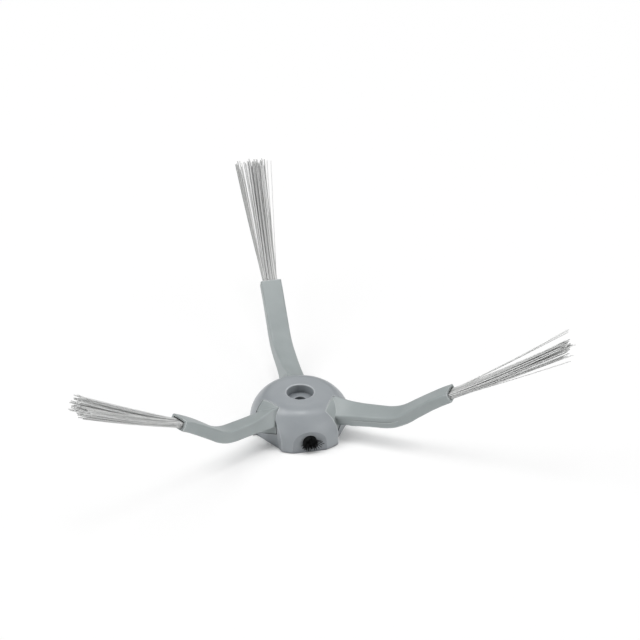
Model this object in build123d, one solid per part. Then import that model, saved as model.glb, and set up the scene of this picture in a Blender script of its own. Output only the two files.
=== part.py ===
# Robot vacuum side brush: a domed hub, three soft strap arms that carry long bristle tufts, and one short
# bristle tuft in the hub's side wall. Millimetres, +Z up, origin on the hub's axis at its flat base.
from build123d import *
from math import cos, pi, radians, sin, sqrt, tan
import os

# Hub: an upright wall under a dome of elliptical section, cut flat on top
HUB_RADIUS = 13.9
WALL_HEIGHT = 3.2
DOME_RISE = 10.75
HUB_HEIGHT = 11.5
SHOULDER_FILLET = 5.5
BASE_FILLET = 0.4
ARM_COUNT = 3
FIRST_ARM_AZIMUTH = 90.0
SHORT_TUFT_AZIMUTH = 270.0

# Screw from above, drive shaft from below
HEAD_RADIUS = 3.75
HEAD_DEPTH = 2.6
HEAD_RIM_FILLET = 0.3
RIM_HEIGHT_MATCH = 0.0001
RIM_RADIUS_MATCH = 0.001
SCREW_RADIUS = 1.6
SOCKET_WIDTH = 6.0
SOCKET_DEPTH = 6.0
SOCKET_CORNER = 0.6

# Channel for an arm's root: x runs out along the arm, y to its left, z up
CHANNEL_DEPTH = 4.9
NOTCH_DEPTH = 2.15
CHANNEL_RIGHT = 5.3
CHANNEL_LEFT = 3.3
LEFT_WALL_LEAN = 25.0
LEFT_FOOT_LEAN = 7.0
FACET_ANGLE = 15.0
FACET_TOP = 8.5
FLOOR_HEIGHT = 2.75
FLOOR_TILT = 23.0
SEAM_GAP = 0.06
ROOT_SINK = 0.12
ROOT_SETBACK = 0.3
RELIEF_WIDTH = 0.7
RELIEF_DROP = 0.7
NECK_LENGTH = 1.2
NECK_WIDTH = 2.6
NECK_HEIGHT = 2.6
ANCHOR_LENGTH = 1.3
ANCHOR_WIDTH = 4.4
ANCHOR_HEIGHT = 4.0

# Arm: a strap that leaves the hub rolled to one side, levels out, bends up and ends in a mouth
ARM_OFFSET = -0.45
ARM_SWEEP = 0.2
ARM_HEIGHT = 7.4
ARM_WIDTH = 5.6
MOUTH_WIDTH = 5.85
ARM_EDGE = 0.55
ROOT_THICKNESS = 3.8
MOUTH_THICKNESS = 3.15
INNER_RUN = 17.1
INNER_RISE = 5.3
BEND_RADIUS = 13.4
OUTER_RUN = 18.8
OUTER_RISE = 38.7
MOUTH_RISE = 31.0
ROLL_ALONG = 18.0
ROOT_ROLL = 12.0
ROOT_FLARE = 1.2
ROOT_WIDENING = 0.7
TWIST_RUN = 9.0
ARM_STATIONS = 18

# Mouth and long tufts
POCKET_WIDTH = 4.4
POCKET_HEIGHT = 2.0
POCKET_DEPTH = 7.0
PLUG_GAP = 0.05
PLUG_LENGTH = 4.4
FUSE_OVERLAP = 0.5
FILAMENT_RADIUS = 0.15
FILAMENT_SIDES = 6
TRIM_STRIDE = 7
TRIM_STEPS = 9
TUFT_LENGTH = 38.4
TUFT_UNEVENNESS = 2.4
TUFT_COLUMNS = 12
TUFT_ROWS = 4
TUFT_STAGGER = 0.25
TUFT_SIDE_GAP = 0.15
TUFT_TOP_GAP = 0.4
TUFT_UNDER_GAP = 0.1
TUFT_PARTING = 0.3
TUFT_SIDE_SPLAY = 2.6
TUFT_DEEP_SPLAY = 1.8
TUFT_LEAN_ANGLES = (-2.7, -3.8, 2.8)
TUFT_LIFT_ANGLES = (1.8, -2.4, 1.5)

# Short tuft: a flat on the dome, a hole square to it, a wire staple and a bundle of filaments
FLAT_DEPTH = 0.9
FLAT_TILT = 1.5
HOLE_RADIUS = 1.95
HOLE_HEIGHT = 3.5
HOLE_DEPTH = 5.0
STAPLE_THICKNESS = 0.5
STAPLE_LENGTH = 1.8
ROOT_DISC = 1.0
SHORT_GAP = 0.05
SHORT_MOUTH_GAP = 0.1
SHORT_FILAMENT_RADIUS = 0.12
SHORT_RINGS = 3
SHORT_PER_RING = 6
SHORT_REACH = 1.4
SHORT_UNEVENNESS = 0.7
SHORT_SPLAY = 26.0

# Worked out from the sizes above
NOTCH_FACE = HUB_RADIUS - NOTCH_DEPTH
CHANNEL_END = HUB_RADIUS - CHANNEL_DEPTH
FLAT_DISTANCE = HUB_RADIUS - FLAT_DEPTH
CUT_REACH = 2 * HUB_RADIUS
CUT_ABOVE = 2 * HUB_HEIGHT
CUT_BELOW = -HUB_HEIGHT
ARM_AZIMUTHS = [FIRST_ARM_AZIMUTH + 360.0 / ARM_COUNT * index for index in range(ARM_COUNT)]


def dome(inset):
    """The hub's outer form, drawn in by an even inset."""
    wide = HUB_RADIUS - inset
    top = HUB_HEIGHT - inset
    wall = Pos(wide / 2, WALL_HEIGHT / 2) * Rectangle(wide, WALL_HEIGHT)
    crown = Pos(0, WALL_HEIGHT) * Ellipse(wide, DOME_RISE - inset)
    half = Pos(wide / 2, top / 2) * Rectangle(wide, top)
    profile = (wall + crown) & half
    outer = profile.vertices().filter_by(lambda vertex: vertex.X > HEAD_RADIUS)
    profile = fillet(outer.sort_by(Axis.Y)[-1], SHOULDER_FILLET)
    foot = profile.vertices().filter_by(lambda vertex: vertex.X > HEAD_RADIUS)
    profile = fillet(foot.sort_by(Axis.Y)[0], BASE_FILLET)
    return revolve(Plane.XZ * profile, Axis.Z)


def is_ring(edge, radius, height):
    """True for a circle about the axis with this radius at this height."""
    point = edge @ 0.5
    flat = abs(point.Z - height) < RIM_HEIGHT_MATCH and abs((edge @ 0.25).Z - height) < RIM_HEIGHT_MATCH
    return flat and abs(sqrt(point.X ** 2 + point.Y ** 2) - radius) < RIM_RADIUS_MATCH


def left_wall(height, gap):
    """Where the channel's left wall stands at a height, drawn in by a gap."""
    above = height - ARM_HEIGHT
    lean = LEFT_WALL_LEAN if above > 0 else LEFT_FOOT_LEAN
    return CHANNEL_LEFT - gap - above * tan(radians(lean))


def floor_at(side):
    """Height of the channel's tilted floor at a distance to the left."""
    return FLOOR_HEIGHT + side * tan(radians(FLOOR_TILT))


def floor_corner(gap):
    """Where the tilted floor meets the foot of the left wall."""
    slope = tan(radians(LEFT_FOOT_LEAN))
    tilt = tan(radians(FLOOR_TILT))
    side = (CHANNEL_LEFT - gap + slope * (ARM_HEIGHT - FLOOR_HEIGHT)) / (1 + slope * tilt)
    return (side, floor_at(side))


def along_arm(points, start, length):
    """A closed outline across the arm, drawn out along it."""
    return extrude(Plane.YZ.offset(start) * make_face(Polyline(*points, close=True)), length)


def left_outline(gap):
    """The left wall's outline from well below the hub to well above it, drawn in by a gap."""
    knee = (left_wall(ARM_HEIGHT, gap), ARM_HEIGHT)
    return [(left_wall(CUT_BELOW, gap), CUT_BELOW), knee, (left_wall(CUT_ABOVE, gap), CUT_ABOVE)]


def channel_cut():
    """The open channel over the tilted floor, and the notch that runs on down to the base."""
    wall = left_outline(0)
    top = (-CHANNEL_RIGHT, CUT_ABOVE)
    channel = [(-CHANNEL_RIGHT, floor_at(-CHANNEL_RIGHT)), floor_corner(0)] + wall[1:] + [top]
    notch = [(-CHANNEL_RIGHT, CUT_BELOW)] + wall + [top]
    channel_space = along_arm(channel, CHANNEL_END, CUT_REACH)
    return channel_space + along_arm(notch, NOTCH_FACE, CUT_REACH) + facet_cut()


def facet_cut():
    """A slanted facet that eases the lobe left of the notch, widest at the base and fading out upwards."""
    turn = radians(FACET_ANGLE)
    across = Vector(sin(turn), cos(turn), 0) * CUT_REACH
    low = Vector(NOTCH_FACE, left_wall(-BASE_FILLET, 0), -BASE_FILLET)
    high = Vector(NOTCH_FACE, left_wall(FACET_TOP, 0), FACET_TOP)
    facet = make_face(Polyline(low, low + across, high + across, high, close=True))
    return extrude(facet, CUT_REACH, dir=(cos(turn), -sin(turn), 0))


def anchor(gap):
    """The neck and head inside the hub that hold an arm's root."""
    neck_start = CHANNEL_END - NECK_LENGTH
    reach = NECK_LENGTH + FUSE_OVERLAP
    middle = (ARM_OFFSET, ARM_HEIGHT - ANCHOR_HEIGHT / 2)
    plane = Plane.YZ.offset(neck_start)
    neck = extrude(plane * Pos(*middle) * Rectangle(NECK_WIDTH - 2 * gap, NECK_HEIGHT - 2 * gap), reach)
    head = plane * Pos(*middle) * Rectangle(ANCHOR_WIDTH - 2 * gap, ANCHOR_HEIGHT - 2 * gap)
    return neck + extrude(head, -ANCHOR_LENGTH)


def flat_plane():
    """The flat that carries the short tuft, square to the tuft's own axis."""
    tilt = radians(FLAT_TILT)
    foot = FLAT_DISTANCE + HOLE_HEIGHT * tan(tilt)
    return Plane(origin=(foot, 0, HOLE_HEIGHT), x_dir=(0, 1, 0), z_dir=(cos(tilt), 0, -sin(tilt)))


def hub():
    """The moulded hub with its screw hole, drive socket, arm channels and tuft hole."""
    body = dome(0)
    body -= Pos(0, 0, HUB_HEIGHT - HEAD_DEPTH) * extrude(Circle(HEAD_RADIUS), HEAD_DEPTH)
    rim = [edge for edge in body.edges() if is_ring(edge, HEAD_RADIUS, HUB_HEIGHT)]
    body = fillet(rim, HEAD_RIM_FILLET)
    body -= extrude(Circle(SCREW_RADIUS), HUB_HEIGHT)
    body -= extrude(RectangleRounded(SOCKET_WIDTH, SOCKET_WIDTH, SOCKET_CORNER), SOCKET_DEPTH)
    channel = channel_cut() + anchor(0)
    flat_cut = extrude(Rectangle(CUT_REACH, CUT_REACH), CUT_REACH)
    tuft_cut = flat_plane() * (flat_cut + extrude(Circle(HOLE_RADIUS), -HOLE_DEPTH))
    body -= Rot(0, 0, SHORT_TUFT_AZIMUTH) * tuft_cut
    for azimuth in ARM_AZIMUTHS:
        body -= Rot(0, 0, azimuth) * channel
    return body


def arm_point(along):
    """Distance out, height and slope of the strap's middle line, at a length along it from the notch face."""
    rise_in = radians(INNER_RISE)
    turn = radians(OUTER_RISE - INNER_RISE)
    trim = BEND_RADIUS * tan(turn / 2)
    first = INNER_RUN - trim
    if along <= first:
        return NOTCH_FACE + along * cos(rise_in), ARM_HEIGHT + along * sin(rise_in), rise_in
    out = NOTCH_FACE + first * cos(rise_in)
    up = ARM_HEIGHT + first * sin(rise_in)
    slope = rise_in + min((along - first) / BEND_RADIUS, turn)
    out += BEND_RADIUS * (sin(slope) - sin(rise_in))
    up += BEND_RADIUS * (cos(rise_in) - cos(slope))
    rest = max(along - first - BEND_RADIUS * turn, 0)
    droop = radians(OUTER_RISE - MOUTH_RISE) * (rest / (OUTER_RUN - trim)) ** 2
    middle = slope - droop / 3
    return out + rest * cos(middle), up + rest * sin(middle), slope - droop


def arm_length():
    """Length of the strap's middle line from the notch face to the mouth."""
    turn = radians(OUTER_RISE - INNER_RISE)
    return INNER_RUN + OUTER_RUN - 2 * BEND_RADIUS * tan(turn / 2) + BEND_RADIUS * turn


def arm_share(along):
    """How far along the strap a place is: 0 at the notch face and 1 at the mouth."""
    return min(max(along / arm_length(), 0), 1)


def arm_plane(along, roll):
    """The plane across the strap, rolled with its left side up."""
    out, up, slope = arm_point(along)
    sway = ARM_OFFSET - ARM_SWEEP * arm_share(along) ** 2
    lean = radians(roll)
    side = (-sin(lean) * sin(slope), cos(lean), sin(lean) * cos(slope))
    return Plane(origin=(out, sway, up), x_dir=side, z_dir=(cos(slope), 0, sin(slope)))


def arm_section(along):
    """The strap's rounded section: rolled and thicker at the root, level at the mouth."""
    pocket_start = arm_length() - POCKET_DEPTH
    fade = min(max(1 - along / pocket_start, 0), 1)
    twist = min(max(1 - along / TWIST_RUN, 0), 1) ** 2
    roll = ROLL_ALONG * fade + ROOT_ROLL * twist
    share = arm_share(along)
    thickness = ROOT_THICKNESS + (MOUTH_THICKNESS - ROOT_THICKNESS) * share + ROOT_FLARE * twist
    width = ARM_WIDTH + (MOUTH_WIDTH - ARM_WIDTH) * share
    widening = ROOT_WIDENING * twist ** 2
    outline = Pos(widening / 2, 0) * RectangleRounded(width + widening, thickness, ARM_EDGE)
    return arm_plane(along, roll) * outline


def arm_root():
    """The block that fills the channel up to the dome, with a relief beside its lower left edge."""
    right = -(CHANNEL_RIGHT - SEAM_GAP)
    relief = ARM_HEIGHT - RELIEF_DROP
    outline = [(right, floor_at(right)), floor_corner(RELIEF_WIDTH)]
    outline += [(left_wall(relief, RELIEF_WIDTH), relief), (left_wall(relief, SEAM_GAP), relief)]
    outline += left_outline(SEAM_GAP)[1:] + [(right, CUT_ABOVE)]
    block = along_arm(outline, CHANNEL_END, CHANNEL_DEPTH - NOTCH_DEPTH - ROOT_SETBACK)
    return (block & dome(ROOT_SINK)) + anchor(SEAM_GAP)


def mouth_plane():
    """The plane of the arm's mouth, facing out along the arm."""
    return arm_plane(arm_length(), 0)


def arm():
    """One strap arm with its root block and the pocket in its mouth."""
    first = CHANNEL_END + FUSE_OVERLAP - NOTCH_FACE
    step = (arm_length() - first) / (ARM_STATIONS - 1)
    strap = loft([arm_section(first + step * index) for index in range(ARM_STATIONS)])
    left_lobe = left_outline(SEAM_GAP) + [(CUT_REACH, CUT_ABOVE), (CUT_REACH, CUT_BELOW)]
    strap -= along_arm(left_lobe, CHANNEL_END, CHANNEL_DEPTH)
    pocket = mouth_plane() * extrude(Rectangle(POCKET_WIDTH, POCKET_HEIGHT), -POCKET_DEPTH)
    return arm_root() + strap - pocket


def filament(plane, start, direction, length, radius):
    """A straight filament from a point of a plane, along a direction given in that plane's own axes."""
    heading = Plane(origin=start, z_dir=direction)
    return plane * (heading * extrude(RegularPolygon(radius, FILAMENT_SIDES), length))


def tip_trim(number, most):
    """How much shorter a filament is cut than the longest one, scattered from one filament to the next."""
    return number * TRIM_STRIDE % TRIM_STEPS / (TRIM_STEPS - 1) * most


def long_tuft(lean, lift):
    """A welded root in the arm's pocket and straight filaments that lift and spread beyond its mouth."""
    plane = mouth_plane()
    front = PLUG_LENGTH - POCKET_DEPTH
    root = Rectangle(POCKET_WIDTH - 2 * PLUG_GAP, POCKET_HEIGHT - 2 * PLUG_GAP)
    body = plane * Pos(0, 0, -POCKET_DEPTH) * extrude(root, PLUG_LENGTH)
    half_width = POCKET_WIDTH / 2 - TUFT_SIDE_GAP - FILAMENT_RADIUS
    top = POCKET_HEIGHT / 2 - TUFT_TOP_GAP - FILAMENT_RADIUS
    bottom = TUFT_UNDER_GAP + FILAMENT_RADIUS - POCKET_HEIGHT / 2
    strands = []
    for row in range(TUFT_ROWS):
        level = row / (TUFT_ROWS - 1)
        stagger = TUFT_STAGGER if row % 2 else -TUFT_STAGGER
        for column in range(TUFT_COLUMNS):
            place = 2 * (column + 0.5 + stagger) / TUFT_COLUMNS - 1
            parting = TUFT_PARTING / 2 if place > 0 else -TUFT_PARTING / 2
            across = parting + place * (half_width - TUFT_PARTING / 2)
            mouth = Vector(across, bottom + level * (top - bottom), 0)
            side = radians(lean + place * TUFT_SIDE_SPLAY)
            climb = radians(lift + (2 * level - 1) * TUFT_DEEP_SPLAY)
            heading = Vector(tan(side), tan(climb), 1)
            start = mouth + heading * (front - FUSE_OVERLAP)
            trim = tip_trim(column + row * TUFT_COLUMNS, TUFT_UNEVENNESS)
            length = TUFT_LENGTH - trim + (FUSE_OVERLAP - front) * heading.length
            strands.append(filament(plane, start, heading, length, FILAMENT_RADIUS))
    return body + strands


def staple():
    """The flat wire across the bottom of the tuft hole."""
    width = 2 * sqrt((HOLE_RADIUS - SHORT_GAP) ** 2 - (STAPLE_THICKNESS / 2) ** 2)
    return flat_plane() * Pos(0, 0, -HOLE_DEPTH) * extrude(Rectangle(width, STAPLE_THICKNESS), STAPLE_LENGTH)


def short_tuft():
    """A welded disc on the staple, and rings of filaments that spread on their way out of the hole."""
    plane = flat_plane()
    back = STAPLE_LENGTH - HOLE_DEPTH
    front = back + ROOT_DISC
    body = plane * Pos(0, 0, back) * extrude(Circle(HOLE_RADIUS - SHORT_GAP), ROOT_DISC)
    widest = HOLE_RADIUS - SHORT_MOUTH_GAP - SHORT_FILAMENT_RADIUS
    strands = []
    for ring in range(SHORT_RINGS + 1):
        radius = widest * ring / SHORT_RINGS
        splay = tan(radians(SHORT_SPLAY * ring / SHORT_RINGS))
        count = max(SHORT_PER_RING * ring, 1)
        for index in range(count):
            angle = 2 * pi * index / count + ring
            outward = Vector(cos(angle), sin(angle), 0)
            heading = outward * splay + Vector(0, 0, 1)
            start = outward * radius + heading * (front - FUSE_OVERLAP)
            trim = tip_trim(index + ring, SHORT_UNEVENNESS)
            length = SHORT_REACH - trim + (FUSE_OVERLAP - front) * heading.length
            strands.append(filament(plane, start, heading, length, SHORT_FILAMENT_RADIUS))
    return body + strands


def write(shape, azimuth, name):
    """Turns a piece to its azimuth and writes it as one node."""
    export_step(Rot(0, 0, azimuth) * shape, f"parts/{name}.step")


os.makedirs("parts", exist_ok=True)
write(hub(), 0, "hub")
write(short_tuft(), SHORT_TUFT_AZIMUTH, "short_tuft")
write(staple(), SHORT_TUFT_AZIMUTH, "staple")
one_arm = arm()
for number, azimuth in enumerate(ARM_AZIMUTHS):
    write(one_arm, azimuth, f"arm_{number + 1}")
    write(long_tuft(TUFT_LEAN_ANGLES[number], TUFT_LIFT_ANGLES[number]), azimuth, f"long_tuft_{number + 1}")
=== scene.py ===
# Looks of the robot vacuum side brush: satin hub, soft strap arms, loose bristles, pale floor, light and
# camera. Metres, in the frame of the solids: +Z up, the hub's axis at the origin, arm_1 along +Y.
import random
from collections import namedtuple
from math import cos, pi, radians, sin, tan

import bpy
from mathutils import Matrix, Vector
from mathutils.bvhtree import BVHTree


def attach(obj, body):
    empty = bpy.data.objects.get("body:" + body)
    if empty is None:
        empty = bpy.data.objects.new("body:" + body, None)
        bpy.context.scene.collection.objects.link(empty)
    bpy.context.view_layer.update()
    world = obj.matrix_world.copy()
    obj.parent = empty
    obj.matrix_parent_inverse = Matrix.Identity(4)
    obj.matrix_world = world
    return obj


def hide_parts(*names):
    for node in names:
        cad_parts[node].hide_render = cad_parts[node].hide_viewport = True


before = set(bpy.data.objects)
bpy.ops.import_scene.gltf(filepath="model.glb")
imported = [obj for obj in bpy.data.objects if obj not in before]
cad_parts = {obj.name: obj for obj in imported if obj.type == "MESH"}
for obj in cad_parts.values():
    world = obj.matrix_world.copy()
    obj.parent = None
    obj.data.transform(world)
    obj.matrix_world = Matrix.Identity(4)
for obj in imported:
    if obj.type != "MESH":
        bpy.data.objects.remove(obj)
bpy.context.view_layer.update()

MM = 0.001

# Places of the solids that the bristles start from: the pockets in the arms' mouths and the hole in the hub
ARM_AZIMUTHS = (90.0, 210.0, 330.0)
MOUTH_OUT = 43.85 * MM
MOUTH_SIDE = -0.65 * MM
MOUTH_UP = 20.21 * MM
MOUTH_RISE = 31.0
POCKET_WIDTH = 4.4 * MM
POCKET_HEIGHT = 2.0 * MM
POCKET_DEPTH = 7.0 * MM
SHORT_AZIMUTH = 270.0
HOLE_OUT = 13.09 * MM
HOLE_UP = 3.5 * MM
HOLE_TILT = 1.5
HOLE_RADIUS = 1.95 * MM

# Welded roots of the tufts: a plug in each pocket and a disc in the hole
PLUG_GAP = 0.05 * MM
PLUG_LENGTH = 4.4 * MM
PLUG_CORNER = 0.15 * MM
DISC_FRONT = -2.2 * MM
DISC_THICKNESS = 1.0 * MM
DISC_SIDES = 32
ROOT_EASE = 0.1 * MM
ROOT_TONE = 0.2

# All bristles: the rounded tip and a stray's radius are shares of a bristle's radius
BRISTLE_SIDES = 6
TIP_SHARE = 0.6
STRAY_SHARE = 0.8

# Long bristles
LONG_SEED = 40
BRISTLE_RADIUS = 0.14 * MM
BRISTLE_STEPS = 9
BRISTLE_COLUMNS = 15
BRISTLE_ROWS = 6
ROW_STAGGER = 0.25
BRISTLE_UNEVENNESS = 2.2 * MM
UNEVENNESS_POWER = 1.6
SIDE_GAP = 0.3 * MM
TOP_GAP = 0.52 * MM
UNDER_GAP = 0.22 * MM
ROOT_SINK = 0.75 * MM
ONSET = 1.5 * MM
LOCK_CLOSENESS = 0.88
JITTER = 0.05 * MM
BOW_JITTER = 0.12 * MM
STRAY_BOW = 0.2 * MM
STRAY_TONE = 0.9

# A lock is a share of a tuft that bends as one, from one place across the mouth to another (-1 right,
# 1 left). It leans to the left and lifts by so many degrees, fans out by so many sideways and in depth, and
# bows by so many millimetres.
Lock = namedtuple("Lock", "start end lean fan lift deep bow")
# A stray leaves its lock. It has its place across and up the mouth (-1 to 1), its lean and lift, and an extra
# length in millimetres.
Stray = namedtuple("Stray", "across level lean lift extra")
# A tuft has its length in millimetres, the jitter of its bristles in degrees, and a shade: painted light that
# makes it paler or, below 0, painted shade that makes it darker.
Tuft = namedtuple("Tuft", "length jitter shade locks strays")
TUFTS = (
    Tuft(
        length=38.4,
        jitter=0.3,
        shade=-0.25,
        locks=(
            Lock(-1.0, 0.5, -3.3, 1.0, 1.5, 0.9, 0.13),
            Lock(0.5, 0.7, -2.0, 2.0, 2.4, 0.8, 0.13),
            Lock(0.7, 1.0, 1.75, 2.6, 1.9, 0.8, 0.13),
        ),
        strays=(
            Stray(-0.97, 0.2, -5.7, 1.5, -0.3),
            Stray(-1.0, -0.4, -7.3, 1.5, -0.4),
            Stray(0.9, 0.4, 0.1, 1.9, -0.4),
            Stray(0.72, 0.6, -0.7, 1.9, -0.3),
            Stray(0.7, 0.2, -0.9, 1.8, -0.5),
            Stray(0.72, -0.2, -0.4, 1.9, -0.2),
            Stray(0.68, 0.4, -1.1, 1.7, -0.6),
        ),
    ),
    Tuft(
        length=37.9,
        jitter=0.38,
        shade=0.15,
        locks=(
            Lock(-1.0, 0.0, -4.85, 1.6, -1.5, 1.75, 0.62),
            Lock(0.0, 1.0, -2.75, 2.2, -3.35, 0.7, 0.5),
        ),
        strays=(
            Stray(-0.95, 0.9, -3.5, 1.2, 0.0),
            Stray(-0.7, 1.0, -0.3, 1.9, 0.0),
            Stray(-0.9, 0.8, -2.2, 1.3, -0.6),
        ),
    ),
    Tuft(
        length=38.0,
        jitter=0.42,
        shade=0.0,
        locks=(
            Lock(-1.0, 0.0, 1.65, 1.6, 1.6, 1.6, 0.35),
            Lock(0.0, 1.0, 3.9, 1.0, 1.3, 0.3, 0.45),
        ),
        strays=(
            Stray(0.95, 0.9, 9.2, 3.7, -1.0),
            Stray(0.9, 0.7, 8.4, 3.7, -0.6),
            Stray(0.8, 0.8, 10.4, 3.7, -0.8),
            Stray(0.9, 0.9, 7.4, 3.7, -0.5),
            Stray(0.85, 0.8, 10.9, 3.7, -1.5),
            Stray(-0.2, -0.7, 2.2, -1.6, 0.6),
            Stray(0.1, 0.0, 3.2, 0.9, 2.1),
            Stray(-0.97, -0.6, 0.9, -2.4, 0.2),
        ),
    ),
)

# Short bristles: they stand straight at the top of the hole and spread to its sides and downwards
SHORT_SEED = 7
SHORT_RADIUS = 0.12 * MM
SHORT_STEPS = 5
SHORT_RINGS = 6
SHORT_PER_RING = 6
SHORT_SCATTER = 0.5
SHORT_REACH = 1.15 * MM
SHORT_UNEVENNESS = 0.55 * MM
SHORT_SPLAY = 30.0
SPLAY_LEAST = 0.5
SPLAY_RANGE = 0.8
SPREAD_AT_SIDES = 0.45
SPREAD_DOWNWARDS = 0.75
SHORT_SAG = 0.32 * MM
SHORT_GAP = 0.16 * MM
# A short stray's angle goes round the hole from its left, as it looks out, towards its top. The stray reaches
# so many millimetres further out than half the reach of the others.
ShortStray = namedtuple("ShortStray", "angle splay extra")
SHORT_STRAYS = (
    ShortStray(6.0, 60.0, 0.35),
    ShortStray(-4.0, 62.0, 0.5),
    ShortStray(-14.0, 60.0, 0.35),
    ShortStray(-24.0, 57.0, 0.45),
    ShortStray(-36.0, 52.0, 0.4),
    ShortStray(-50.0, 46.0, 0.4),
    ShortStray(196.0, 50.0, 0.1),
    ShortStray(214.0, 48.0, 0.2),
    ShortStray(232.0, 42.0, 0.25),
)

# Parting ledge along the lower part of each strap's right side, from the hub to the bend
LEDGE_START = 14.6 * MM
LEDGE_END = 33.0 * MM
LEDGE_STEPS = 30
LEDGE_LEVEL = 0.42
LEDGE_TOP = 0.24 * MM
LEDGE_FOOT = 0.34 * MM
LEDGE_SINK = 0.15 * MM
LEDGE_WRAP = 0.3 * MM
LEDGE_LEAST = 0.3
LEDGE_FADE_IN = 0.12
LEDGE_FADE_OUT = 0.3
LEDGE_CREASE = 30.0
# The strap's side is found by rays from its right, one above the other
SIDE_FACING = 0.75
SCAN_SIDE = -20.0 * MM
SCAN_LOW = 3.0 * MM
SCAN_HIGH = 24.0 * MM
SCAN_STEPS = 210

# Noise: scales are in cells per metre, and most of the noise lies between low and high
NOISE_DETAIL = 2.0
NOISE_LOW = 0.3
NOISE_HIGH = 0.7
# Moulded pieces: clouds in the colour, and a fine grain in the gloss and the surface
CLOUD_SCALE = 180.0
CLOUD_DETAIL = 3.0
CLOUD_LOW = 0.35
CLOUD_HIGH = 0.65
GRAIN_SCALE = 5200.0
GRAIN_GLOSS = 0.05
GRAIN_DEPTH = 0.04 * MM
MOULDED_IOR = 1.46
# Their edges are shaded as if rounded a little
EASE_RADIUS = 0.12 * MM
EASE_SAMPLES = 4
# Edge lines are a painted highlight: how far the rounded normal agrees with the true one where they start and
# where they are full
EDGE_RADIUS = 0.5 * MM
EDGE_SAMPLES = 6
EDGE_NONE = 0.985
EDGE_FULL = 0.88
# Creases get painted shade: how open a place is where their painted dark starts and where it is full, and
# where edges count as outward for the painted edge highlight
CREASE_REACH = 2.4 * MM
CREASE_SAMPLES = 6
CREASE_NONE = 0.72
CREASE_FULL = 0.22
OUTWARD_NONE = 0.65
OUTWARD_FULL = 0.85
# The rounded rim of the screw-head recess gets a painted highlight
RIM_OUTER = 4.2 * MM
RIM_INNER = 3.95 * MM
RIM_LOW = 11.1 * MM
RIM_HIGH = 11.35 * MM
RIM_HIGHLIGHT = 0.6
# The flat round the short tuft is left matt, and painted shade makes it a little darker
FLAT_FACING = (0.0, -cos(radians(HOLE_TILT)), -sin(radians(HOLE_TILT)))
FLAT_NONE = 0.985
FLAT_FULL = 0.998
FLAT_PAINTED_SHADE = 0.88
FLAT_MATT = 0.25
# Filaments: streaks along them, added to each strand's own tone, which runs from dark to light
STREAK_SCALE = 900.0
STREAK_SHARE = 0.3
STREAK_GLOSS = 0.06
TONE_DARK = 0.1
TONE_LIGHT = 1.2
# Staple wire
WIRE_SCALE = 2500.0
WIRE_DARK = (0.42, 0.42, 0.42)
WIRE_LIGHT = (0.6, 0.6, 0.6)
WIRE_SMOOTH = 0.25
WIRE_ROUGH = 0.4

# Floor: the camera sees a share of its shade, less away from the hub. It doesn't glow where it is shut in.
WHITE = (1.0, 1.0, 1.0, 1.0)
FLOOR_SIZE = 4.0
FLOOR_SCALE = 40.0
FLOOR_DARK = (0.97, 0.97, 0.97)
FLOOR_LIGHT = (0.99, 0.99, 0.99)
FLOOR_SHADE = 0.3
FLOOR_FAINT = 0.12
FLOOR_NEAR = 18.0 * MM
FLOOR_FAR = 60.0 * MM
FLOOR_REACH = 10.0 * MM
FLOOR_SAMPLES = 8
FLOOR_SHUT = 0.2
FLOOR_OPEN = 0.95

# Camera of the photograph
CAMERA_PLACE = (-0.30434, -1.46952, 0.98226)
CAMERA_TURN = (57.737, 0.0, -11.91)
CAMERA_LENS = 364.13
CAMERA_SENSOR = 36.0
CAMERA_FAR = 10.0

# Light panels that face the object from all round it
PANEL_DISTANCE = 1.3
Panel = namedtuple("Panel", "name azimuth elevation width height power")
PANELS = (
    Panel("overhead", 258.0, 89.0, 0.35, 0.35, 4.75),
    Panel("high_left", 168.0, 60.0, 0.6, 0.6, 7.7),
    Panel("high_right", 348.0, 60.0, 0.6, 0.6, 2.85),
    Panel("right", 348.0, 30.0, 0.6, 0.6, 0.5),
    Panel("left", 168.0, 30.0, 0.7, 0.7, 0.8),
    Panel("back_right", 33.0, 30.0, 0.7, 0.7, 2.0),
    Panel("behind", 78.0, 30.0, 0.9, 0.6, 1.25),
    Panel("front_left", 205.0, 20.0, 0.9, 0.6, 2.3),
    Panel("front_right", 309.0, 20.0, 1.1, 0.75, 3.5),
    Panel("low_left", 211.0, 10.0, 0.9, 0.4, 1.6),
    Panel("low_right", 326.0, 15.0, 0.9, 0.5, 2.5),
)


def new_object(name, data):
    """An object in the scene."""
    thing = bpy.data.objects.new(name, data)
    bpy.context.scene.collection.objects.link(thing)
    return thing


def smooth_mesh(name, points, faces, material):
    """A smooth-shaded mesh of one material."""
    mesh = bpy.data.meshes.new(name)
    mesh.from_pydata(points, [], faces)
    mesh.polygons.foreach_set("use_smooth", [True] * len(mesh.polygons))
    mesh.materials.append(material)
    return mesh


def skin(first, rings, count):
    """Faces of a closed skin over rings of so many points each, which are numbered on from the first."""
    faces = []
    for ring in range(rings - 1):
        low = first + ring * count
        for side in range(count):
            after = (side + 1) % count
            faces.append((low + side, low + after, low + count + after, low + count + side))
    last = first + (rings - 1) * count
    faces.append(tuple(range(first + count - 1, first - 1, -1)))
    faces.append(tuple(range(last, last + count)))
    return faces


def new_material(name):
    """A node material, and its empty tree to build in."""
    material = bpy.data.materials.new(name)
    material.use_nodes = True
    tree = material.node_tree
    tree.nodes.clear()
    return material, tree


def add(tree, kind, settings=None, **inputs):
    """A node with its settings and inputs. A socket gets linked, anything else is the input's value.

    An input goes by its number, as in _0, or by its name with underscores for spaces.
    """
    node = tree.nodes.new(kind)
    for key, value in (settings or {}).items():
        setattr(node, key, value)
    for key, value in inputs.items():
        socket = node.inputs[int(key[1:]) if key[1:].isdigit() else key.replace("_", " ")]
        if isinstance(value, bpy.types.NodeSocket):
            tree.links.new(value, socket)
        else:
            socket.default_value = value
    return node


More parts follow.
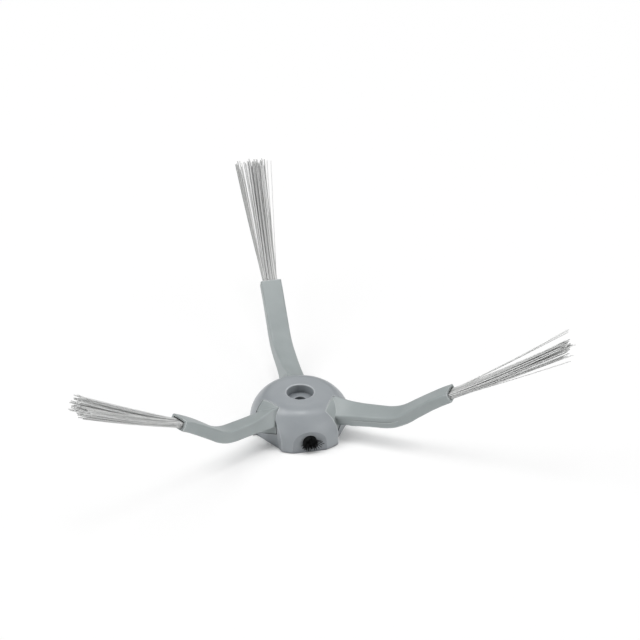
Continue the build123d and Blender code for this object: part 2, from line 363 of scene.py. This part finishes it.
def finish_material(tree, shader):
    """Joins a shader to the material's output."""
    output = tree.nodes.new("ShaderNodeOutputMaterial")
    tree.links.new(shader.outputs[0], output.inputs["Surface"])


def blend_colour(tree, share, first, second):
    """A colour between two, by a share that is a socket."""
    mix = tree.nodes.new("ShaderNodeMix")
    mix.data_type = "RGBA"
    tree.links.new(share, mix.inputs["Factor"])
    for key, value in (("A", first), ("B", second)):
        socket = [s for s in mix.inputs if s.name == key and s.type == "RGBA"][0]
        if isinstance(value, bpy.types.NodeSocket):
            tree.links.new(value, socket)
        else:
            socket.default_value = (*value, 1.0)
    return [s for s in mix.outputs if s.type == "RGBA"][0]


def calculate(tree, operation, *values):
    """The outcome of a math node."""
    inputs = {f"_{index}": value for index, value in enumerate(values)}
    return add(tree, "ShaderNodeMath", {"operation": operation}, **inputs).outputs[0]


def object_place(tree):
    """The place on the object, in metres."""
    return tree.nodes.new("ShaderNodeTexCoord").outputs["Object"]


def noise(tree, place, scale, detail=NOISE_DETAIL):
    """Noise at a scale in cells per metre."""
    node = add(tree, "ShaderNodeTexNoise", Vector=place, Scale=scale, Detail=detail)
    return node.outputs["Fac"]


def spread(tree, value, low, high, out_low=0.0, out_high=1.0):
    """A value's range mapped onto another one, held at its ends."""
    node = add(tree, "ShaderNodeMapRange", _0=value, _1=low, _2=high, _3=out_low, _4=out_high)
    return node.outputs[0]


def openness(tree, reach, samples):
    """1 in the open, and less the more there is within reach."""
    return add(tree, "ShaderNodeAmbientOcclusion", {"samples": samples}, Distance=reach).outputs["AO"]


def distance(tree, place):
    """How far a place is from the origin."""
    return add(tree, "ShaderNodeVectorMath", {"operation": "LENGTH"}, _0=place).outputs["Value"]


def agreement(tree, first, second):
    """How far two directions agree: 1 where they are the same."""
    node = add(tree, "ShaderNodeVectorMath", {"operation": "DOT_PRODUCT"}, _0=first, _1=second)
    return node.outputs["Value"]


def edge_share(tree):
    """The mask of the painted edge highlight: near 1 along sharp edges, 0 on open faces, by how far a rounded
    normal turns from the true one.
    """
    bevel = add(tree, "ShaderNodeBevel", {"samples": EDGE_SAMPLES}, Radius=EDGE_RADIUS)
    normal = tree.nodes.new("ShaderNodeNewGeometry").outputs["Normal"]
    return spread(tree, agreement(tree, bevel.outputs[0], normal), EDGE_NONE, EDGE_FULL)


def rim_highlight(tree, place):
    """The strength of the painted highlight on the rim of the screw-head recess, and 0 elsewhere."""
    axes = add(tree, "ShaderNodeSeparateXYZ", Vector=place).outputs
    level = add(tree, "ShaderNodeCombineXYZ", X=axes["X"], Y=axes["Y"]).outputs[0]
    near = spread(tree, distance(tree, level), RIM_OUTER, RIM_INNER)
    high = spread(tree, axes["Z"], RIM_LOW, RIM_HIGH, 0.0, RIM_HIGHLIGHT)
    return calculate(tree, "MULTIPLY", near, high)


def flat_share(tree):
    """1 on flat faces that look the way of the short tuft's flat, 0 on all others."""
    normal = tree.nodes.new("ShaderNodeNewGeometry").outputs["True Normal"]
    return spread(tree, agreement(tree, normal, FLAT_FACING), FLAT_NONE, FLAT_FULL)


def moulded(name, dark, light, edge_highlight, painted_crease_shade, roughness, grain):
    """Moulded plastic or rubber: clouds, fine grain, outward edges paler by painted highlight, creases darker
    by painted shade, and a matt flat darker by painted shade.
    """
    material, tree = new_material(name)
    place = object_place(tree)
    cloud = noise(tree, place, CLOUD_SCALE, CLOUD_DETAIL)
    body = blend_colour(tree, spread(tree, cloud, CLOUD_LOW, CLOUD_HIGH), dark, light)
    flat = flat_share(tree)
    # Painted shade: faces that look the way of the short tuft's flat are darker
    body = blend_colour(tree, flat, body, [level * FLAT_PAINTED_SHADE for level in dark])
    bare = openness(tree, CREASE_REACH, CREASE_SAMPLES)
    outward = spread(tree, bare, OUTWARD_NONE, OUTWARD_FULL)
    # Painted highlight: outward edges and the recess rim are paled towards the edge highlight colour
    painted_highlight = calculate(tree, "MULTIPLY", edge_share(tree), outward)
    painted_highlight = calculate(tree, "MAXIMUM", painted_highlight, rim_highlight(tree, place))
    pale = blend_colour(tree, painted_highlight, body, edge_highlight)
    # Painted shade: creases and recesses are darkened towards the crease shade colour by how shut in they are
    colour = blend_colour(tree, spread(tree, bare, CREASE_NONE, CREASE_FULL), pale, painted_crease_shade)
    fine = noise(tree, place, GRAIN_SCALE)
    satin = spread(tree, fine, NOISE_LOW, NOISE_HIGH, roughness - GRAIN_GLOSS, roughness + GRAIN_GLOSS)
    eased = add(tree, "ShaderNodeBevel", {"samples": EASE_SAMPLES}, Radius=EASE_RADIUS).outputs[0]
    bump = add(tree, "ShaderNodeBump", Strength=grain, Distance=GRAIN_DEPTH, Height=fine, Normal=eased)
    shader = add(
        tree,
        "ShaderNodeBsdfPrincipled",
        Base_Color=colour,
        Roughness=calculate(tree, "MULTIPLY_ADD", flat, FLAT_MATT, satin),
        Normal=bump.outputs[0],
    )
    shader.inputs["IOR"].default_value = MOULDED_IOR
    finish_material(tree, shader)
    return material


def filament(name, dark, light, roughness, ior):
    """Nylon filament: each strand has its own tone, and the length is faintly streaked."""
    material, tree = new_material(name)
    tone = add(tree, "ShaderNodeAttribute", {"attribute_name": "tone"}).outputs["Fac"]
    streak = noise(tree, object_place(tree), STREAK_SCALE)
    varied = calculate(tree, "MULTIPLY_ADD", streak, STREAK_SHARE, tone)
    shader = add(
        tree,
        "ShaderNodeBsdfPrincipled",
        Base_Color=blend_colour(tree, spread(tree, varied, TONE_DARK, TONE_LIGHT), dark, light),
        Roughness=spread(
            tree, streak, NOISE_LOW, NOISE_HIGH, roughness - STREAK_GLOSS, roughness + STREAK_GLOSS
        ),
    )
    shader.inputs["IOR"].default_value = ior
    finish_material(tree, shader)
    return material


def steel_wire(name):
    """Drawn steel wire."""
    material, tree = new_material(name)
    drawn = noise(tree, object_place(tree), WIRE_SCALE)
    shader = add(
        tree,
        "ShaderNodeBsdfPrincipled",
        Base_Color=blend_colour(tree, drawn, WIRE_DARK, WIRE_LIGHT),
        Roughness=spread(tree, drawn, NOISE_LOW, NOISE_HIGH, WIRE_SMOOTH, WIRE_ROUGH),
    )
    shader.inputs["Metallic"].default_value = 1.0
    finish_material(tree, shader)
    return material


def floor_material():
    """A white sweep: the camera sees it as white, with a part of the shade that the object leaves on it."""
    material, tree = new_material("sweep_white")
    place = object_place(tree)
    colour = blend_colour(tree, noise(tree, place, FLOOR_SCALE), FLOOR_DARK, FLOOR_LIGHT)
    diffuse = add(tree, "ShaderNodeBsdfDiffuse", Color=colour)
    glow = add(tree, "ShaderNodeEmission", Color=WHITE, Strength=1.0)
    rays = tree.nodes.new("ShaderNodeLightPath").outputs
    seen = calculate(tree, "MAXIMUM", rays["Is Camera Ray"], rays["Is Glossy Ray"])
    seen = calculate(tree, "MAXIMUM", seen, rays["Is Transmission Ray"])
    bare = spread(tree, openness(tree, FLOOR_REACH, FLOOR_SAMPLES), FLOOR_SHUT, FLOOR_OPEN)
    away = distance(tree, place)
    pale = spread(tree, away, FLOOR_NEAR, FLOOR_FAR, 1.0 - FLOOR_SHADE, 1.0 - FLOOR_FAINT)
    share = calculate(tree, "MULTIPLY", seen, calculate(tree, "MULTIPLY", bare, pale))
    mix = add(tree, "ShaderNodeMixShader", _0=share, _1=diffuse.outputs[0], _2=glow.outputs[0])
    finish_material(tree, mix)
    return material


class Strands:
    """Gathers filaments as closed tubes, and their welded root, and turns them into one mesh."""

    def __init__(self):
        self.points = []
        self.faces = []
        self.tones = []

    def close(self, first, rings, count, tone):
        """Puts a skin of one tone over the rings of points since the first."""
        self.faces.extend(skin(first, rings, count))
        self.tones.extend([tone] * (rings * count))

    def tube(self, path, radius, tone):
        """A closed tube of even radius along a path, with a rounded tip."""
        first = len(self.points)
        across = (path[1] - path[0]).orthogonal().normalized()
        rings = [(point, radius) for point in path]
        heading = (path[-1] - path[-2]).normalized()
        rings.append((path[-1] + heading * radius * TIP_SHARE, radius * TIP_SHARE))
        for index, (point, size) in enumerate(rings):
            ahead = rings[min(index + 1, len(rings) - 1)][0] - rings[max(index - 1, 0)][0]
            ahead.normalize()
            across = (across - ahead * across.dot(ahead)).normalized()
            third = ahead.cross(across)
            for side in range(BRISTLE_SIDES):
                angle = 2 * pi * side / BRISTLE_SIDES
                self.points.append(point + (across * cos(angle) + third * sin(angle)) * size)
        self.close(first, len(rings), BRISTLE_SIDES, tone)

    def root(self, outline, start, end):
        """A welded root with eased ends over an outline of (x, y) points, from one depth to another."""
        first = len(self.points)
        ease = 1.0 - ROOT_EASE / max(abs(x) for x, _ in outline)
        rings = ((start, ease), (start + ROOT_EASE, 1.0), (end - ROOT_EASE, 1.0), (end, ease))
        for depth, scale in rings:
            self.points.extend(Vector((x * scale, y * scale, depth)) for x, y in outline)
        self.close(first, len(rings), len(outline), ROOT_TONE)

    def piece(self, name, place, material):
        """One object at a place, with a tone for each strand."""
        mesh = smooth_mesh(name, [place @ point for point in self.points], self.faces, material)
        attribute = mesh.attributes.new("tone", "FLOAT", "POINT")
        attribute.data.foreach_set("value", self.tones)
        mesh.update()
        return new_object(name, mesh)


def root_place(azimuth, out, side, up, rise):
    """The frame of a tuft's mouth or hole: x to its left as it looks out, y up, z out and rising so far."""
    tilt = radians(rise)
    turn = Matrix(((0, -sin(tilt), cos(tilt)), (1, 0, 0), (0, cos(tilt), sin(tilt)))).to_4x4()
    return Matrix.Rotation(radians(azimuth), 4, "Z") @ Matrix.Translation((out, side, up)) @ turn


def bristle_path(root, lean, lift, length, bow, sway):
    """Points of one bristle, straight from the welded root to the mouth and then leaning to its tip."""
    weld = PLUG_LENGTH - POCKET_DEPTH
    path = [Vector((root.x, root.y, weld - ROOT_SINK)), Vector((root.x, root.y, weld / 3))]
    for step in range(BRISTLE_STEPS):
        # The first point is half a step out. The lean comes in over the onset, and is whole at the tip.
        run = length * (step + 0.5) / (BRISTLE_STEPS - 0.5)
        eased = run * run / (run + ONSET) * (length + ONSET) / length
        # The arch is -1 halfway along and 0 at both ends
        arch = 4 * ((run / length) ** 2 - run / length)
        x = root.x + eased * tan(radians(lean)) + sway * arch
        y = root.y + eased * tan(radians(lift)) + bow * arch
        path.append(Vector((x, y, run)))
    return path


def cut_box(width, height, corner):
    """Outline of a rectangle with cut corners."""
    half_x = width / 2
    half_y = height / 2
    points = []
    for x, y in ((1, 1), (-1, 1), (-1, -1), (1, -1)):
        near = (x * half_x, y * (half_y - corner))
        far = (x * (half_x - corner), y * half_y)
        points.extend((near, far) if x * y > 0 else (far, near))
    return points


def long_tuft(number, material):
    """The bristles of one arm, over the same welded root as the solid."""
    draw = random.Random(LONG_SEED + number)
    tuft = TUFTS[number]
    strands = Strands()
    plug = cut_box(POCKET_WIDTH - 2 * PLUG_GAP, POCKET_HEIGHT - 2 * PLUG_GAP, PLUG_CORNER)
    strands.root(plug, -POCKET_DEPTH, PLUG_LENGTH - POCKET_DEPTH)
    half = POCKET_WIDTH / 2 - SIDE_GAP
    top = POCKET_HEIGHT / 2 - TOP_GAP
    bottom = UNDER_GAP - POCKET_HEIGHT / 2
    for row in range(BRISTLE_ROWS):
        level = 2 * row / (BRISTLE_ROWS - 1) - 1
        stagger = ROW_STAGGER if row % 2 else -ROW_STAGGER
        for column in range(BRISTLE_COLUMNS):
            across = 2 * (column + stagger) / (BRISTLE_COLUMNS - 1) - 1
            lock = next((choice for choice in tuft.locks if across <= choice.end), tuft.locks[-1])
            middle = (lock.start + lock.end) / 2
            drawn_in = middle + (across - middle) * LOCK_CLOSENESS
            x = max(-half, min(half, drawn_in * half + draw.gauss(0, JITTER)))
            y = bottom + (top - bottom) * (level + 1) / 2 + draw.gauss(0, JITTER)
            lean = lock.lean + lock.fan * (across - middle) + draw.gauss(0, tuft.jitter)
            lift = lock.lift + lock.deep * level + draw.gauss(0, tuft.jitter)
            length = tuft.length * MM - draw.random() ** UNEVENNESS_POWER * BRISTLE_UNEVENNESS
            bow = lock.bow * MM + draw.gauss(0, BOW_JITTER)
            sway = draw.gauss(0, BOW_JITTER)
            path = bristle_path(Vector((x, y)), lean, lift, length, bow, sway)
            # The tuft's shade adds painted light or painted shade to each strand's own random tone
            strands.tube(path, BRISTLE_RADIUS, draw.random() + tuft.shade)
    for stray in tuft.strays:
        y = bottom + (top - bottom) * (stray.level + 1) / 2
        root = Vector((stray.across * half, y))
        length = (tuft.length + stray.extra) * MM
        sway = draw.gauss(0, BOW_JITTER)
        path = bristle_path(root, stray.lean, stray.lift, length, STRAY_BOW, sway)
        strands.tube(path, BRISTLE_RADIUS * STRAY_SHARE, STRAY_TONE)
    place = root_place(ARM_AZIMUTHS[number], MOUTH_OUT, MOUTH_SIDE, MOUTH_UP, MOUTH_RISE)
    return strands.piece(f"bristles_{number + 1}", place, material)


def short_path(outward, start, splay, reach):
    """Points of one short bristle: straight inside the hole, spread outwards beyond it."""
    path = []
    for step in range(SHORT_STEPS + 1):
        depth = DISC_FRONT + (reach - DISC_FRONT) * step / SHORT_STEPS
        free = max(depth, 0)
        point = outward * (start + tan(radians(splay)) * free)
        path.append(Vector((point.x, point.y - SHORT_SAG * (free / SHORT_REACH) ** 2, depth)))
    return path


def short_tuft(material):
    """The dark bristles in the hub's side, over the same welded disc as the solid."""
    draw = random.Random(SHORT_SEED)
    strands = Strands()
    rim = HOLE_RADIUS - PLUG_GAP
    turns = [2 * pi * side / DISC_SIDES for side in range(DISC_SIDES)]
    disc = [(rim * cos(turn), rim * sin(turn)) for turn in turns]
    strands.root(disc, DISC_FRONT - DISC_THICKNESS, DISC_FRONT)
    widest = HOLE_RADIUS - SHORT_GAP
    for ring in range(SHORT_RINGS + 1):
        share = ring / SHORT_RINGS
        count = max(SHORT_PER_RING * ring, 1)
        for index in range(count):
            angle = 2 * pi * (index + draw.random() * SHORT_SCATTER) / count + ring
            outward = Vector((cos(angle), sin(angle), 0))
            hang = min(max(SPREAD_AT_SIDES - SPREAD_DOWNWARDS * outward.y, 0.0), 1.0)
            splay = SHORT_SPLAY * share * hang * (SPLAY_LEAST + SPLAY_RANGE * draw.random())
            reach = SHORT_REACH - draw.random() * SHORT_UNEVENNESS
            path = short_path(outward, widest * share, splay, reach)
            strands.tube(path, SHORT_RADIUS, draw.random())
    for stray in SHORT_STRAYS:
        outward = Vector((cos(radians(stray.angle)), sin(radians(stray.angle)), 0))
        path = short_path(outward, widest, stray.splay, SHORT_REACH / 2 + stray.extra * MM)
        strands.tube(path, SHORT_RADIUS * STRAY_SHARE, draw.random())
    place = root_place(SHORT_AZIMUTH, HOLE_OUT, 0, HOLE_UP, -HOLE_TILT)
    return strands.piece("short_bristles", place, material)


def side_span(tree, turn, out):
    """Top and bottom of a strap's flat right side, so far out along the arm and in the arm's own frame."""
    span = []
    back = turn.inverted()
    leftwards = turn @ Vector((0, 1, 0))
    for step in range(SCAN_STEPS):
        level = SCAN_LOW + (SCAN_HIGH - SCAN_LOW) * step / SCAN_STEPS
        place, normal, _, _ = tree.ray_cast(turn @ Vector((out, SCAN_SIDE, level)), leftwards)
        if place is not None and (back @ normal).y < -SIDE_FACING:
            span.append(back @ place)
    return span[-1], span[0]


def parting_ledge(number, material):
    """The step that the two halves of the mould leave on a strap's right side."""
    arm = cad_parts[f"arm_{number + 1}"].data
    tree = BVHTree.FromPolygons([v.co for v in arm.vertices], [tuple(p.vertices) for p in arm.polygons])
    turn = Matrix.Rotation(radians(ARM_AZIMUTHS[number]), 3, "Z")
    points = []
    for step in range(LEDGE_STEPS + 1):
        share = step / LEDGE_STEPS
        top, foot = side_span(tree, turn, LEDGE_START + (LEDGE_END - LEDGE_START) * share)
        down = (foot - top).normalized()
        proud = Vector((0, down.z, -down.y))
        proud = proud if proud.y < 0 else -proud
        rise = min(1.0, LEDGE_LEAST + share / LEDGE_FADE_IN, (1.0 - share) / LEDGE_FADE_OUT)
        start = top.lerp(foot, LEDGE_LEVEL)
        points.append(start - proud * LEDGE_SINK)
        points.append(start + proud * (LEDGE_TOP * rise - LEDGE_SINK * (1 - rise)))
        points.append(foot + proud * (LEDGE_FOOT * rise - LEDGE_SINK * (1 - rise)))
        points.append(foot + down * LEDGE_WRAP * rise)
        points.append(foot - proud * LEDGE_SINK * 2)
    rings = LEDGE_STEPS + 1
    faces = skin(0, rings, len(points) // rings)
    mesh = smooth_mesh(f"arm_ledge_{number + 1}", [turn @ point for point in points], faces, material)
    mesh.set_sharp_from_angle(angle=radians(LEDGE_CREASE))
    return new_object(mesh.name, mesh)


def dress(node, material):
    """Gives a solid its material."""
    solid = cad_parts[node]
    if solid.material_slots:
        for slot in solid.material_slots:
            slot.material = material
    else:
        solid.data.materials.append(material)


def lay_floor():
    """A wide white sweep under the object."""
    half = FLOOR_SIZE / 2
    corners = [(-half, -half, 0), (half, -half, 0), (half, half, 0), (-half, half, 0)]
    floor = new_object("sweep", smooth_mesh("sweep", corners, [(0, 1, 2, 3)], floor_material()))


def add_panel(panel):
    """A soft light panel that faces the object."""
    light = bpy.data.lights.new(panel.name, "AREA")
    light.shape = "RECTANGLE"
    light.size = panel.width
    light.size_y = panel.height
    light.energy = panel.power
    lamp = new_object(panel.name, light)
    azimuth = radians(panel.azimuth)
    elevation = radians(panel.elevation)
    level = PANEL_DISTANCE * cos(elevation)
    lamp.location = (level * cos(azimuth), level * sin(azimuth), PANEL_DISTANCE * sin(elevation))
    lamp.rotation_euler = (-lamp.location).to_track_quat("-Z", "Y").to_euler()


def add_surround():
    """A surround that the camera sees as white and that lights nothing."""
    world = bpy.data.worlds.new("surround")
    world.use_nodes = True
    tree = world.node_tree
    tree.nodes.clear()
    seen = tree.nodes.new("ShaderNodeLightPath").outputs["Is Camera Ray"]
    back = add(tree, "ShaderNodeBackground", Color=WHITE, Strength=seen)
    output = tree.nodes.new("ShaderNodeOutputWorld")
    tree.links.new(back.outputs[0], output.inputs["Surface"])
    bpy.context.scene.world = world


def place_camera():
    """The photograph's view."""
    lens = bpy.data.cameras.new("view")
    lens.lens = CAMERA_LENS
    lens.sensor_width = CAMERA_SENSOR
    lens.clip_end = CAMERA_FAR
    camera = new_object("view", lens)
    camera.location = CAMERA_PLACE
    camera.rotation_euler = [radians(angle) for angle in CAMERA_TURN]
    bpy.context.scene.camera = camera


hub_plastic = moulded(
    "hub_plastic",
    dark=(0.303, 0.325, 0.344),
    light=(0.323, 0.345, 0.364),
    edge_highlight=(0.6, 0.62, 0.64),
    painted_crease_shade=(0.1, 0.11, 0.12),
    roughness=0.32,
    grain=0.2,
)
arm_rubber = moulded(
    "arm_rubber",
    dark=(0.315, 0.348, 0.35),
    light=(0.335, 0.368, 0.37),
    edge_highlight=(0.6, 0.63, 0.63),
    painted_crease_shade=(0.1, 0.11, 0.11),
    roughness=0.42,
    grain=0.25,
)
grey_bristle = filament(
    "grey_bristle", dark=(0.4, 0.405, 0.4), light=(0.8, 0.805, 0.8), roughness=0.4, ior=1.53
)
black_bristle = filament(
    "black_bristle", dark=(0.002, 0.0024, 0.0024), light=(0.009, 0.0105, 0.0105), roughness=0.6, ior=1.25
)
staple_wire = steel_wire("staple_wire")

dress("hub", hub_plastic)
dress("staple", staple_wire)
for number in range(len(ARM_AZIMUTHS)):
    dress(f"arm_{number + 1}", arm_rubber)
    ledge = parting_ledge(number, arm_rubber)
    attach(ledge, "root")
    tuft = long_tuft(number, grey_bristle)
    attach(tuft, "root")
    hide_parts(f"long_tuft_{number + 1}")
dark_tuft = short_tuft(black_bristle)
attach(dark_tuft, "root")
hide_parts("short_tuft")

lay_floor()
add_surround()
for panel in PANELS:
    add_panel(panel)
place_camera()
bpy.context.scene.view_settings.view_transform = "Standard"
